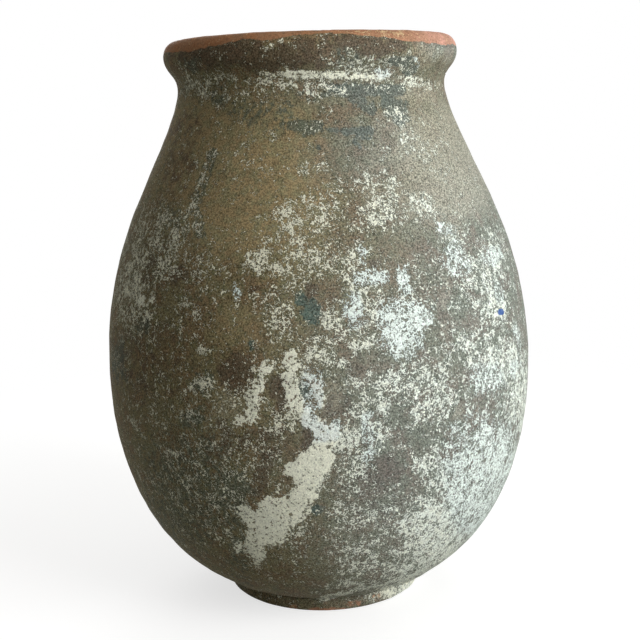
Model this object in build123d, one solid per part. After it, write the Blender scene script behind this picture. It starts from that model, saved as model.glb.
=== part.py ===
from build123d import *
from math import cos, radians, sin
import os

# Olive jar of fired earthenware, glazed inside only. The potter made it in
# four pieces that were joined wet and fired as one: a base slab, a lower and
# an upper wall, and a heavy rolled rim collar.
# Units are millimetres. The origin is the centre of the underside, +Z up.

# Overall form
jar_height = 700.0
belly_radius = 268.0
belly_height = 294.0
neck_radius = 164.5

# Rolled rim: its depth from the top to the narrowest neck, how far it stands
# out, how high its crown is above the widest point, and how its edges round
rim_depth = 58.0
lip_overhang = 15.5
lip_crown = 19.0
lip_round = 15.0
mouth_round = 9.0

# Foot and floor
foot_radius = 124.5
foot_flare = 4.5
foot_height = 20.0
foot_edge_round = 3.0
foot_groove = 2.5
spring_width = 5.0
spring_rise = 2.0
floor_thickness = 22.0
heel_curve = 70.5

# Wall thicknesses
belly_wall = 17.0
neck_wall = 18.5

# Hollow of the neck: its radius outside, and the lean where it starts
neck_hollow = 36.0
neck_lean = 15.0

# Lean of the wall where it springs from the foot
spring_lean = 65.0

# Curve pulls, as shares of the rise (or of the width) that each curve spans
bowl_pull_shares = (0.34, 0.49)
bowl_inside_pull_shares = (0.60, 0.60)
shoulder_pull_shares = (0.49, 0.26)
lip_pull_shares = (0.52, 0.475)

# Luted joints: bevels that widen the contact, and the scored line below the rim
base_bevel = 10.0
base_bevel_width = 34.0
belly_bevel = 16.0
rim_bevel = 8.0
rim_joint_share = 0.25
joint_groove = 1.2

# Glaze inside: its thickness, and the bare band that it leaves below the top
glaze_thickness = 1.0
glaze_stop = 14.0

# How far cutting outlines run past the clay, and a bevel past its faces
overrun = 30.0
bevel_overrun = 3.0

neck_height = jar_height - rim_depth
lip_radius = neck_radius + lip_overhang
lip_height = jar_height - lip_crown
mouth_radius = neck_radius - neck_wall
foot_top_radius = foot_radius + foot_flare
floor_radius = foot_radius - heel_curve


def pulled_curve(start, start_direction, end, end_direction, span, pulls):
    """Cubic that leaves start and reaches end along the given directions."""
    first = (start[0] + start_direction[0] * pulls[0] * span[0], start[1] + start_direction[1] * pulls[0] * span[1])
    last = (end[0] - end_direction[0] * pulls[1] * span[0], end[1] - end_direction[1] * pulls[1] * span[1])
    return Bezier(start, first, last, end)


def shoulder_edges(widest_radius, narrowest_radius, hollow_radius):
    """Belly to neck: a long swelling curve, then the arc of the neck's hollow."""
    lean = radians(neck_lean)
    rise = neck_height - belly_height
    hollow_start = (
        narrowest_radius + hollow_radius * (1 - cos(lean)),
        neck_height - hollow_radius * sin(lean),
    )
    hollow_middle = (
        narrowest_radius + hollow_radius * (1 - cos(lean / 2)),
        neck_height - hollow_radius * sin(lean / 2),
    )
    shoulder = pulled_curve(
        (widest_radius, belly_height),
        (0, 1),
        hollow_start,
        (-sin(lean), cos(lean)),
        (rise, rise),
        shoulder_pull_shares,
    )
    hollow = ThreePointArc(hollow_start, hollow_middle, (narrowest_radius, neck_height))
    return [shoulder, hollow]


def bowl_edge():
    """Foot to belly on the outside: springs out almost flat, then stands up."""
    start = (foot_top_radius + spring_width, foot_height + spring_rise)
    rise = belly_height - start[1]
    lean = radians(spring_lean)
    return pulled_curve(
        start, (sin(lean), cos(lean)), (belly_radius, belly_height), (0, 1), (rise, rise), bowl_pull_shares
    )


def lip_edges():
    """Neck to the top face: the rolled lip and its rounded top corner."""
    rise = lip_height - neck_height
    under_lip = pulled_curve(
        (neck_radius, neck_height), (0, 1), (lip_radius, lip_height), (0, 1), (rise, rise), lip_pull_shares
    )
    top_corner = EllipticalCenterArc(
        (lip_radius - lip_round, lip_height), lip_round, jar_height - lip_height, start_angle=0, arc_size=90
    )
    return [under_lip, top_corner]


def cavity_edges(inset):
    """Floor centre to neck on the inside, lying inset from the bare clay."""
    floor_height = floor_thickness + inset
    widest = belly_radius - belly_wall - inset
    width = widest - floor_radius
    rise = belly_height - floor_height
    floor = Line((0, floor_height), (floor_radius, floor_height))
    bowl = pulled_curve(
        (floor_radius, floor_height),
        (1, 0),
        (widest, belly_height),
        (0, 1),
        (width, rise),
        bowl_inside_pull_shares,
    )
    neck_inside = mouth_radius - inset
    return [floor, bowl] + shoulder_edges(widest, neck_inside, neck_hollow + neck_wall + inset)


def outside_edges():
    """Underside centre to the top face, outside the jar."""
    flare = foot_flare * foot_edge_round / foot_height
    edge_side = (foot_radius + flare, foot_edge_round)
    groove_top = (foot_top_radius + spring_width, foot_height + spring_rise)
    return [
        Line((0, 0), (foot_radius - foot_edge_round, 0)),
        TangentArc((foot_radius - foot_edge_round, 0), edge_side, tangent=(1, 0)),
        Line(edge_side, (foot_top_radius, foot_height)),
        Line((foot_top_radius, foot_height), groove_top),
        bowl_edge(),
    ] + shoulder_edges(belly_radius, neck_radius, neck_hollow) + lip_edges()


def upright_face(edges):
    """Closed outline of radius and height, stood up in the XZ plane."""
    return Plane.XZ * make_face(Wire(edges))


def clay_face():
    """Half section of all the clay, from the axis outwards."""
    mouth_corner = RadiusArc(
        (mouth_radius, jar_height - mouth_round), (mouth_radius + mouth_round, jar_height), mouth_round
    )
    top_face = Line((mouth_radius + mouth_round, jar_height), (lip_radius - lip_round, jar_height))
    bore = Line((mouth_radius, neck_height), (mouth_radius, jar_height - mouth_round))
    axis = Line((0, 0), (0, floor_thickness))
    return upright_face(outside_edges() + [top_face, mouth_corner, bore] + cavity_edges(0) + [axis])


def below(outer_point, inner_point):
    """Half section of everything under a bevelled joint, the bevel run on past both faces."""
    reach = belly_radius + overrun
    extra_rise = bevel_overrun * (inner_point[1] - outer_point[1]) / (outer_point[0] - inner_point[0])
    bevel_bottom = (outer_point[0] + bevel_overrun, outer_point[1] - extra_rise)
    bevel_top = (inner_point[0] - bevel_overrun, inner_point[1] + extra_rise)
    outline = [
        (0, -overrun),
        (reach, -overrun),
        (reach, bevel_bottom[1]),
        bevel_bottom,
        bevel_top,
        (0, bevel_top[1]),
    ]
    return Plane.XZ * make_face(Polyline(*outline, close=True))


def groove_at(point, radius):
    """Half section of a round groove scored along a joint."""
    return Plane.XZ * (Pos(point[0], point[1]) * Circle(radius))


def turned(face):
    """Solid of revolution about the jar's axis."""
    return revolve(face, Axis.Z, 360)


clay = clay_face()
lip_joint = lip_edges()[0] @ rim_joint_share
foot_joint = (foot_top_radius, foot_height)

under_base_joint = below(foot_joint, (foot_top_radius - base_bevel_width, foot_height + base_bevel))
under_belly_joint = below(
    (belly_radius, belly_height - belly_bevel / 2),
    (belly_radius - belly_wall, belly_height + belly_bevel / 2),
)
under_rim_joint = below((lip_joint.X, lip_joint.Y), (mouth_radius, lip_joint.Y + rim_bevel))
foot_line = groove_at(foot_joint, foot_groove)
rim_line = groove_at((lip_joint.X, lip_joint.Y), joint_groove)

base_slab = turned((clay & under_base_joint) - foot_line)
lower_wall = turned((clay - under_base_joint - foot_line) & under_belly_joint)
upper_wall = turned((clay - under_belly_joint - rim_line) & under_rim_joint)
rim_collar = turned(clay - under_rim_joint - rim_line)

glaze_top = jar_height - glaze_stop
glaze_bore = Line((mouth_radius, neck_height), (mouth_radius, glaze_top))
glaze_edge = Line((mouth_radius, glaze_top), (mouth_radius - glaze_thickness, glaze_top))
glaze_face_bore = Line((mouth_radius - glaze_thickness, neck_height), (mouth_radius - glaze_thickness, glaze_top))
glaze_axis = Line((0, floor_thickness), (0, floor_thickness + glaze_thickness))
glaze_lining = turned(
    upright_face(
        cavity_edges(0) + [glaze_bore, glaze_edge, glaze_face_bore] + cavity_edges(glaze_thickness) + [glaze_axis]
    )
)

os.makedirs("parts", exist_ok=True)
export_step(base_slab, "parts/base_slab.step")
export_step(lower_wall, "parts/lower_wall.step")
export_step(upper_wall, "parts/upper_wall.step")
export_step(rim_collar, "parts/rim_collar.step")
export_step(glaze_lining, "parts/glaze_lining.step")
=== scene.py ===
from math import atan2, cos, pi, radians, sin

import bpy
import numpy as np
from mathutils import Matrix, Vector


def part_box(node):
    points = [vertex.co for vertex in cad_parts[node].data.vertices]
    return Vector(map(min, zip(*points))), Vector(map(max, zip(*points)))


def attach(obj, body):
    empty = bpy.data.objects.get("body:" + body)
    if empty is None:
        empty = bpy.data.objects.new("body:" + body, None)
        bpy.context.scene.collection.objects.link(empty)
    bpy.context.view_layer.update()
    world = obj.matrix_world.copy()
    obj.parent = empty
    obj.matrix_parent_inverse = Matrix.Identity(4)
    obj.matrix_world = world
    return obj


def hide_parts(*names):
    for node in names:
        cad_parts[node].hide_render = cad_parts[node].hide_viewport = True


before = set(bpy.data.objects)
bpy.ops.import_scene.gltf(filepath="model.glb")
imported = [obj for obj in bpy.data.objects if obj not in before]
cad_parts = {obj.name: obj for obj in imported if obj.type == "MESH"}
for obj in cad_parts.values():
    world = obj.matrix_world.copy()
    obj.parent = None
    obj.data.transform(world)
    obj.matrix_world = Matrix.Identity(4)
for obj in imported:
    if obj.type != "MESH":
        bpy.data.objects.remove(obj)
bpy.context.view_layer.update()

# An old olive jar of fired clay, glazed inside. Its outside carries a mottled
# skin of old slip and dirt under flaking lime. Lengths are metres, +Z is up,
# and the centre of the underside is the origin.

mm = 0.001

# Overall form, from the frame
jar_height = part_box("rim_collar")[1][2]
belly_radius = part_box("lower_wall")[1][0]
lip_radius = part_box("rim_collar")[1][0]

# Form of the outside
belly_height = 294 * mm
neck_radius = 164.5 * mm
neck_height = jar_height - 58 * mm
neck_hollow = 36 * mm
neck_lean = radians(15)
lip_height = jar_height - 19 * mm
lip_round = 15 * mm
foot_radius = 124.5 * mm
foot_top_radius = 129 * mm
foot_height = 20 * mm
foot_edge_round = 3 * mm
foot_groove = 2.5 * mm
spring_width = 5 * mm
spring_rise = 2 * mm
spring_lean = radians(65)

# Form of the inside
belly_wall = 17 * mm
neck_wall = 18.5 * mm
mouth_radius = neck_radius - neck_wall
mouth_round = 9 * mm
floor_thickness = 22 * mm
floor_radius = 54 * mm
glaze_thickness = 1 * mm
glaze_top = jar_height - 14 * mm

# Curve pulls, as shares of the rise or the width that a curve spans
bowl_pull_shares = (0.34, 0.49)
bowl_inside_pull_shares = (0.60, 0.60)
shoulder_pull_shares = (0.49, 0.26)
lip_pull_shares = (0.52, 0.475)

# Joints between the clay pieces
base_bevel = 10 * mm
base_bevel_width = 34 * mm
belly_bevel = 16 * mm
rim_bevel = 8 * mm
rim_joint_share = 0.25
rim_groove = 1.2 * mm

# Meshes: columns round the jar, the spacing of rows along the section, and how
# far below the neck the neck's rows start
columns = 600
wall_row = 3.2 * mm
neck_row = 1.8 * mm
neck_reach = 30 * mm
rim_row = 1.5 * mm
foot_row = 1.2 * mm
hidden_row = 20 * mm
lining_row = 7 * mm

# Camera of the photograph
photo_size = 640
camera_place = (0.0, -1.385, 0.618)
camera_lens = 61.1
camera_sensor = 36.0
camera_pitch = radians(11.1)
camera_roll = radians(1.66)
camera_yaw = radians(0.107)


# Camera and photograph

def camera_matrix():
    """Turn of the camera: yaw about the upright, pitch down from level, roll about the view."""
    turn = Matrix.Rotation(-camera_yaw, 4, "Z") @ Matrix.Rotation(pi / 2 - camera_pitch, 4, "X")
    return Matrix.Translation(camera_place) @ turn @ Matrix.Rotation(-camera_roll, 4, "Z")


def seen_at(places):
    """Pixel of the photograph that shows each place: its place in camera axes, divided by its depth."""
    inverse = np.array(camera_matrix().inverted())
    local = places @ inverse[:3, :3].T + inverse[:3, 3]
    focal = camera_lens / camera_sensor * photo_size
    across = photo_size / 2 + focal * local[..., 0] / -local[..., 2]
    down = photo_size / 2 - focal * local[..., 1] / -local[..., 2]
    return across, down


# Noise

def smooth_step(low, high, value):
    """0 below low, 1 above high, and 3t^2 - 2t^3 between."""
    share = np.clip((value - low) / (high - low), 0, 1)
    return share * share * (3 - 2 * share)


# Large odd numbers that mix a cell's three numbers and its seed, the shifts and
# numbers of the two rounds of mixing, and the last shift and the bits kept
mixers, seed_mixer = (73856093, 19349663, 83492791), 265443
rounds = ((13, 1274126177), (15, 2246822519))
last_shift, kept_bits = 16, 0xFFFFF

# Divides the sum of a cloud's layers, so that it keeps to about -1 to 1
cloud_reach = 1.6


def lattice(cells, seed):
    """A repeatable value from 0 to 1 for each whole-numbered cell, by mixing its three numbers."""
    first, second, third = (cells[..., axis] * mixer for axis, mixer in enumerate(mixers))
    mixed = first ^ second ^ third ^ seed * seed_mixer
    for shift, mixer in rounds:
        mixed = (mixed ^ (mixed >> shift)) * mixer
    return ((mixed ^ (mixed >> last_shift)) & kept_bits) / kept_bits


def smooth_noise(places, grain, seed):
    """Smooth values from -1 to 1: those of a cell's corners, one grain apart, blended by smooth steps."""
    scaled = places / grain
    whole = np.floor(scaled).astype(np.int64)
    part = scaled - whole
    part = part * part * (3 - 2 * part)
    total = 0
    for corner in np.ndindex(2, 2, 2):
        share = np.prod(np.where(np.array(corner) == 1, part, 1 - part), axis=-1)
        total = total + share * lattice(whole + np.array(corner), seed)
    return total * 2 - 1


def cloud(places, grain, seed, layers=3):
    """Sum of smooth noises, each half as large and half as coarse as the last."""
    total = 0
    for layer in range(layers):
        total = total + smooth_noise(places, grain / 2**layer, seed + layer) / 2**layer
    return total / cloud_reach


# Section of the jar: arrays of points, each a radius and a height

def pulled_curve(start, start_way, end, end_way, span, pulls, steps=160):
    """Cubic Bezier curve that leaves start and reaches end along the given directions."""
    start, end, span = np.array(start), np.array(end), np.array(span)
    first = start + np.array(start_way) * pulls[0] * span
    last = end - np.array(end_way) * pulls[1] * span
    t = np.linspace(0, 1, steps)[:, None]
    return start * (1 - t)**3 + 3 * first * t * (1 - t)**2 + 3 * last * t * t * (1 - t) + end * t**3


def arc(centre, radii, start, end, steps=40):
    """Elliptical arc: centre plus the radii times cosine and sine of an angle from start to end."""
    angle = np.linspace(start, end, steps)[:, None]
    return np.array(centre) + np.array(radii) * np.hstack([np.cos(angle), np.sin(angle)])


def shoulder(widest_radius, narrowest_radius, hollow_radius):
    """Belly to neck: a long swelling curve, then the arc of the neck's hollow."""
    rise = neck_height - belly_height
    hollow_start = (
        narrowest_radius + hollow_radius * (1 - cos(neck_lean)),
        neck_height - hollow_radius * sin(neck_lean),
    )
    swell = pulled_curve(
        (widest_radius, belly_height),
        (0, 1),
        hollow_start,
        (-sin(neck_lean), cos(neck_lean)),
        (rise, rise),
        shoulder_pull_shares,
    )
    hollow_centre = (narrowest_radius + hollow_radius, neck_height)
    hollow = arc(hollow_centre, (hollow_radius, hollow_radius), pi + neck_lean, pi)
    return np.vstack([swell, hollow[1:]])


def outside_line():
    """Top of the foot's groove to the neck, outside."""
    start = (foot_top_radius + spring_width, foot_height + spring_rise)
    rise = belly_height - start[1]
    way = (sin(spring_lean), cos(spring_lean))
    bowl = pulled_curve(start, way, (belly_radius, belly_height), (0, 1), (rise, rise), bowl_pull_shares)
    return np.vstack([bowl, shoulder(belly_radius, neck_radius, neck_hollow)[1:]])


def inside_line(inset):
    """Edge of the floor to the neck, inside, lying inset from the bare clay."""
    floor_height = floor_thickness + inset
    widest = belly_radius - belly_wall - inset
    bowl = pulled_curve(
        (floor_radius, floor_height),
        (1, 0),
        (widest, belly_height),
        (0, 1),
        (widest - floor_radius, belly_height - floor_height),
        bowl_inside_pull_shares,
    )
    return np.vstack([bowl, shoulder(widest, mouth_radius - inset, neck_hollow + neck_wall + inset)[1:]])


def lip_line():
    """Neck to the widest part of the rolled rim."""
    rise = lip_height - neck_height
    return pulled_curve(
        (neck_radius, neck_height), (0, 1), (lip_radius, lip_height), (0, 1), (rise, rise), lip_pull_shares
    )


def at_height(line, height):
    """Point of a rising line at a height."""
    return np.array([np.interp(height, line[:, 1], line[:, 0]), height])


def between(line, low, high):
    """Stretch of a rising line from one height to another."""
    inner = line[(line[:, 1] > low) & (line[:, 1] < high)]
    return np.vstack([at_height(line, low), inner, at_height(line, high)])


def spaced(line, spacing):
    """Line sampled again at even steps along its length, ends kept."""
    steps = np.hypot(*np.diff(line, axis=0).T)
    length = np.concatenate([[0], np.cumsum(steps)])
    count = max(int(round(length[-1] / spacing)), 1)
    wanted = np.linspace(0, length[-1], count + 1)
    return np.column_stack([np.interp(wanted, length, line[:, 0]), np.interp(wanted, length, line[:, 1])])


def direction(start, end):
    """Angle of the way from one point of the section to another."""
    return atan2(end[1] - start[1], end[0] - start[0])


outside = outside_line()
inside = inside_line(0)
lip = lip_line()

foot_joint = np.array([foot_top_radius, foot_height])
foot_joint_end = foot_joint + np.array([-base_bevel_width, base_bevel])
rim_joint = lip[int(rim_joint_share * (len(lip) - 1))]
rim_joint_inside = np.array([mouth_radius, rim_joint[1] + rim_bevel])
belly_joint = at_height(outside, belly_height - belly_bevel / 2)
belly_joint_inside = at_height(inside, belly_height + belly_bevel / 2)


def base_joint_inside():
    """Point where the bevel of the base joint meets the inside of the jar."""
    bevel_height = np.interp(inside[:, 0], *zip(foot_joint_end, foot_joint))
    return inside[int(np.argmax(inside[:, 1] > bevel_height))]


def way_to(angle, length):
    """Step of a given length in a direction of the section."""
    return length * np.array([cos(angle), sin(angle)])


foot_side_way = direction(foot_joint, (foot_radius, 0))
spring_way = direction(foot_joint, foot_joint + np.array([spring_width, spring_rise]))
base_joint_way = direction(foot_joint, foot_joint_end)
under_rim_way = direction(rim_joint, at_height(lip, rim_joint[1] - rim_groove))
over_rim_way = direction(rim_joint, at_height(lip, rim_joint[1] + rim_groove))
rim_joint_way = direction(rim_joint, rim_joint_inside)

# Ends of each groove on the surface, lower one first
groove_ends = {
    "foot_groove": [foot_joint + way_to(way, foot_groove) for way in (foot_side_way, spring_way)],
    "rim_groove": [rim_joint + way_to(way, rim_groove) for way in (under_rim_way, over_rim_way)],
}


def groove(centre, radius, start_way, end_way):
    """Arc of a round groove, seen from its centre, from one direction to another."""
    return arc(centre, (radius, radius), start_way, end_way, 8)


# Colour fields, in pixels of the photograph. A patch is its left, top, right
# and bottom edge and how strong it is; a streak is its two ends, half its
# width and how strong it is.

broad_lime_patches = (
    (258, 188, 352, 305, 0.62), (300, 172, 352, 245, 0.51), (348, 168, 404, 245, 0.63),
    (400, 190, 442, 226, 0.66), (332, 235, 368, 300, 0.6), (255, 290, 300, 345, 0.56),
    (290, 325, 345, 385, 0.54), (328, 262, 392, 350, 0.74), (385, 282, 432, 352, 0.76),
    (425, 300, 475, 365, 0.58), (428, 214, 470, 268, 0.7), (442, 245, 482, 296, 0.7),
    (478, 212, 512, 300, 0.68), (466, 262, 512, 335, 0.7), (460, 318, 535, 410, 0.72),
    (395, 350, 475, 440, 0.68), (335, 355, 400, 440, 0.56), (325, 420, 372, 500, 0.7),
    (355, 405, 400, 470, 0.62), (400, 415, 450, 500, 0.6), (415, 395, 560, 600, 0.88),
    (385, 480, 490, 590, 0.92), (318, 480, 400, 540, 0.5), (365, 530, 500, 640, 0.98),
    (175, 66, 440, 98, 0.28), (178, 74, 215, 100, 0.74), (115, 195, 190, 300, 0.54),
    (110, 215, 160, 350, 0.68), (210, 490, 330, 580, 0.38), (240, 410, 300, 450, 0.44),
    (175, 365, 262, 425, 0.46), (140, 400, 280, 570, 0.36), (235, 355, 290, 420, 0.46),
    (60, 120, 330, 640, 0.22), (300, 180, 600, 640, 0.33), (280, 350, 340, 425, 0.62),
    (384, 105, 412, 135, 0.54), (400, 125, 440, 165, 0.58), (320, 560, 400, 600, 0.46),
    (352, 22, 424, 42, 0.56), (420, 452, 475, 505, 0.84), (322, 530, 400, 585, 0.62),
    (235, 495, 320, 560, 0.54), (290, 440, 335, 500, 0.74), (322, 296, 348, 340, 0.74),
    (262, 255, 302, 300, 0.58), (495, 330, 560, 480, 0.76), (378, 362, 425, 402, 0.66),
    (262, 356, 284, 378, 0.66), (258, 402, 300, 440, 0.56),
)
cream_lime_patches = (
    (334, 50, 366, 72, 0.4), (181, 56, 201, 74, 0.4), (285, 80, 325, 86, 0.75), (205, 74, 264, 82, 0.5),
    (185, 80, 203, 88, 0.4), (183, 84, 232, 103, 0.35), (181, 90, 201, 102, 0.45), (210, 90, 232, 110, 0.3),
    (292, 90, 330, 101, 0.4), (286, 119, 320, 133, 0.35), (300, 161, 311, 175, 0.5),
    (188, 158, 202, 168, 0.5), (157, 205, 190, 233, 0.4), (161, 228, 179, 250, 0.6),
    (228, 223, 235, 230, 0.75), (265, 211, 268, 216, 0.8), (260, 168, 283, 175, 0.4),
    (241, 152, 253, 168, 0.45), (262, 190, 330, 270, 0.5), (395, 127, 425, 147, 0.5),
    (422, 152, 440, 165, 0.6), (380, 143, 397, 159, 0.4), (378, 168, 381, 176, 0.35),
    (353, 165, 360, 177, 0.5), (383, 175, 402, 191, 0.7), (359, 180, 413, 233, 0.55),
    (413, 199, 442, 219, 0.6), (310, 176, 348, 269, 0.45), (354, 239, 365, 269, 0.65),
    (476, 233, 490, 269, 0.7), (126, 263, 138, 286, 0.55), (129, 286, 136, 320, 0.5),
    (156, 274, 163, 294, 0.5), (141, 240, 153, 269, 0.45), (194, 347, 203, 357, 0.8),
    (184, 372, 210, 395, 0.6), (180, 388, 187, 395, 0.7), (201, 382, 209, 393, 0.8),
    (242, 295, 266, 304, 0.5), (192, 269, 202, 277, 0.4), (241, 247, 279, 278, 0.6),
    (261, 297, 279, 332, 0.5), (251, 251, 304, 297, 0.6), (302, 240, 350, 269, 0.5),
    (323, 313, 335, 325, 0.85), (350, 332, 378, 350, 0.8), (341, 350, 352, 366, 0.85),
    (355, 349, 400, 372, 0.3), (373, 375, 390, 390, 0.75), (378, 401, 389, 410, 0.8),
    (320, 374, 340, 382, 0.7), (470, 263, 491, 320, 0.75), (446, 300, 457, 315, 0.7),
    (449, 328, 482, 355, 0.7), (380, 362, 414, 400, 0.7), (431, 360, 447, 383, 0.7),
    (281, 416, 296, 437, 0.6), (325, 420, 369, 481, 0.65), (318, 481, 369, 569, 0.38),
    (218, 527, 240, 538, 0.5), (246, 555, 267, 569, 0.6), (404, 425, 415, 437, 0.7),
    (379, 402, 388, 422, 0.7), (417, 440, 430, 476, 0.75), (393, 519, 448, 552, 0.75),
    (387, 501, 398, 515, 0.7), (350, 487, 404, 570, 0.35), (313, 586, 326, 594, 0.6),
    (368, 575, 427, 600, 0.65), (290, 405, 315, 419, 0.9),
)
cool_lime_patches = (
    (366, 68, 391, 80, 0.5), (409, 60, 415, 66, 0.8), (432, 220, 457, 233, 0.75),
    (442, 239, 463, 262, 0.75), (226, 282, 242, 300, 0.7), (356, 242, 366, 269, 0.7),
    (351, 269, 388, 288, 0.9), (392, 264, 410, 292, 0.92), (341, 292, 364, 328, 0.92),
    (375, 295, 420, 360, 0.92), (298, 368, 322, 425, 0.62), (400, 297, 434, 329, 0.86),
    (380, 330, 423, 360, 0.84), (441, 250, 467, 276, 0.76), (482, 243, 502, 265, 0.78),
    (492, 279, 505, 299, 0.6), (468, 362, 507, 400, 0.72), (510, 355, 517, 378, 0.74),
    (512, 322, 520, 352, 0.6), (306, 418, 340, 442, 0.8), (297, 405, 322, 428, 0.8),
    (361, 416, 369, 451, 0.76), (361, 428, 377, 465, 0.76), (366, 414, 378, 423, 0.76),
    (437, 400, 520, 545, 0.7),
)
clear_patches = (
    (374, 226, 436, 270, 0.85), (442, 90, 500, 214, 0.9), (432, 270, 450, 340, 0.85),
    (452, 398, 468, 422, 0.85), (368, 450, 402, 486, 0.8), (205, 165, 258, 245, 0.9),
    (205, 300, 258, 350, 0.9), (322, 380, 345, 420, 0.9), (290, 38, 425, 52, 0.9), (415, 88, 470, 150, 0.8),
    (300, 98, 350, 118, 0.8), (320, 138, 385, 165, 0.6), (300, 298, 326, 327, 0.9),
    (350, 350, 376, 382, 0.45), (404, 430, 434, 462, 0.6), (300, 278, 342, 300, 0.75),
    (245, 282, 268, 300, 0.9), (256, 272, 278, 282, 0.7), (205, 350, 255, 380, 0.8),
    (268, 372, 281, 416, 0.8),
)
crust_patches = (
    (138, 295, 144, 305, 0.9), (149, 296, 155, 304, 0.8), (249, 383, 261, 406, 0.8),
    (282, 357, 300, 372, 0.7), (313, 390, 323, 404, 0.95), (315, 352, 321, 358, 0.95),
    (238, 413, 259, 425, 0.5), (233, 543, 241, 555, 0.7), (376, 585, 396, 598, 0.72),
    (400, 577, 426, 592, 0.62),
)
film_and_shade_patches = (
    # The first patch, low on the left, is painted shade on the side away from the light; the rest is dark
    # film.
    (140, 425, 232, 560, 0.55), (225, 500, 250, 590, 0.5), (334, 50, 366, 72, 0.5), (393, 56, 413, 76, 0.8),
    (181, 56, 201, 74, 0.6), (325, 84, 360, 97, 1), (210, 90, 232, 110, 0.6), (230, 102, 272, 128, 0.5),
    (292, 90, 330, 101, 0.5), (286, 119, 320, 133, 0.9), (157, 205, 190, 233, 0.5),
    (354, 97, 374, 113, 0.8), (385, 97, 409, 124, 0.8), (356, 129, 370, 134, 0.9),
    (354, 135, 358, 144, 0.8), (134, 313, 157, 335, 0.7), (115, 330, 129, 383, 0.8),
    (184, 372, 210, 395, 0.6), (212, 265, 224, 275, 0.6), (192, 269, 202, 277, 0.5),
    (210, 467, 251, 522, 0.8), (178, 410, 205, 428, 0.8), (316, 145, 326, 154, 1), (307, 504, 320, 517, 1),
    (220, 100, 300, 135, 0.45),
)
teal_patches = (
    (248, 340, 255, 352, 0.9), (300, 298, 324, 326, 1), (294, 292, 306, 306, 1), (297, 383, 309, 399, 1),
    (307, 504, 320, 517, 0.6), (325, 84, 352, 92, 0.45),
)
bare_patches = (
    (344, 600, 364, 608, 0.56), (286, 604, 300, 611, 0.56), (370, 590, 384, 603, 0.46),
    (408, 578, 426, 592, 0.46), (300, 607, 356, 616, 0.7), (366, 56, 378, 62, 0.3),
)
umber_patches = (
    (160, 36, 335, 72, 0.9), (300, 32, 425, 58, 0.75), (169, 261, 187, 286, 0.8), (215, 352, 254, 392, 1),
    (249, 286, 264, 297, 0.9), (304, 284, 323, 302, 0.8), (270, 372, 284, 420, 0.9),
    (120, 230, 175, 300, 0.5), (105, 300, 180, 420, 0.4), (205, 425, 300, 455, 0.6),
    (345, 350, 375, 380, 0.5), (345, 462, 400, 492, 0.8), (323, 284, 348, 304, 0.5),
    (360, 257, 382, 270, 0.6), (323, 387, 355, 419, 0.5), (332, 406, 342, 419, 0.8),
    (297, 418, 311, 450, 1), (435, 276, 449, 337, 0.6), (366, 56, 378, 63, 0.9), (160, 100, 200, 200, 0.5),
    (198, 410, 234, 468, 0.6), (487, 354, 495, 361, 0.7), (368, 450, 402, 486, 0.8),
    (340, 470, 400, 520, 0.5),
)
ochre_patches = (
    (150, 100, 345, 275, 0.85), (230, 90, 330, 180, 0.6), (150, 92, 240, 170, 0.8),
    (210, 300, 275, 350, 0.5), (150, 485, 162, 501, 0.6), (448, 359, 457, 376, 0.7),
    (383, 228, 413, 269, 0.5), (230, 325, 262, 350, 0.5), (198, 410, 234, 468, 0.5),
)
tan_patches = (
    (205, 385, 248, 428, 0.7), (320, 382, 345, 418, 0.6), (391, 82, 444, 105, 0.7),
    (385, 90, 500, 240, 0.85), (454, 400, 468, 422, 0.8), (340, 100, 440, 230, 0.45),
    (400, 45, 458, 72, 0.6), (435, 276, 449, 337, 0.7),
)
speck_patches = (
    (110, 380, 290, 590, 0.9), (165, 60, 300, 110, 0.7), (110, 190, 215, 330, 0.6),
    (240, 230, 420, 440, 0.5), (300, 470, 420, 600, 0.7),
)
# Dust patches, which also paint light: they cover the lit right side and make it lighter and cooler.
lit_side_dust_patches = (
    (405, 5, 525, 75, 1), (320, -40, 740, 700, 1), (280, 220, 600, 680, 0.95), (280, 40, 480, 130, 0.55),
    (300, 90, 480, 210, 0.75),
)
lime_streaks = (
    (205, 76, 264, 80, 4, 0.5), (262, 79, 296, 72, 4, 0.55), (262, 76, 350, 75, 5, 0.66),
    (335, 60, 360, 68, 9, 0.5), (356, 73, 392, 76, 7, 0.64), (392, 78, 436, 86, 6, 0.54),
    (262, 49, 281, 39, 3, 0.44), (368, 62, 412, 66, 7, 0.4), (300, 84, 345, 90, 3, 0.65),
    (264, 82, 300, 85, 3, 0.6), (213, 154, 199, 189, 5, 0.45), (199, 189, 194, 205, 5, 0.45),
    (194, 205, 199, 233, 5, 0.45), (430, 169, 440, 174, 2, 0.8), (127, 416, 147, 439, 2, 0.6),
    (142, 468, 153, 485, 2, 0.5), (161, 445, 179, 457, 2, 0.45), (322, 599, 352, 591, 3, 0.7),
    (352, 591, 392, 583, 3, 0.7), (343, 582, 360, 573, 2, 0.66),
)
film_streaks = (
    (213, 154, 199, 189, 6, 0.6), (199, 189, 194, 205, 6, 0.6), (194, 205, 199, 233, 6, 0.6),
    (319, 129, 370, 131, 2, 0.7), (214, 478, 230, 515, 9, 0.6), (291, 126, 318, 125, 6, 1),
    (352, 90, 400, 90, 6, 1), (358, 98, 372, 110, 6, 0.9), (388, 102, 402, 120, 7, 1),
    (345, 131, 370, 131, 4, 1), (392, 62, 408, 63, 5, 0.9), (372, 104, 350, 98, 4, 0.8),
)
crust_streaks = (
    (290, 357, 289, 385, 8, 0.78), (289, 385, 293, 405, 9, 0.74), (295, 405, 310, 422, 9, 0.7),
    (310, 422, 330, 434, 9, 0.72), (328, 434, 320, 450, 9, 0.76), (266, 368, 255, 392, 7, 0.56),
    (255, 392, 252, 412, 8, 0.62), (252, 412, 238, 421, 6, 0.52), (316, 384, 321, 404, 5, 0.66),
    (306, 374, 318, 392, 4, 0.5), (286, 74, 342, 75, 4, 0.66), (342, 77, 366, 79, 3, 0.56),
    (366, 75, 388, 76, 5, 0.46),
)
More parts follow.
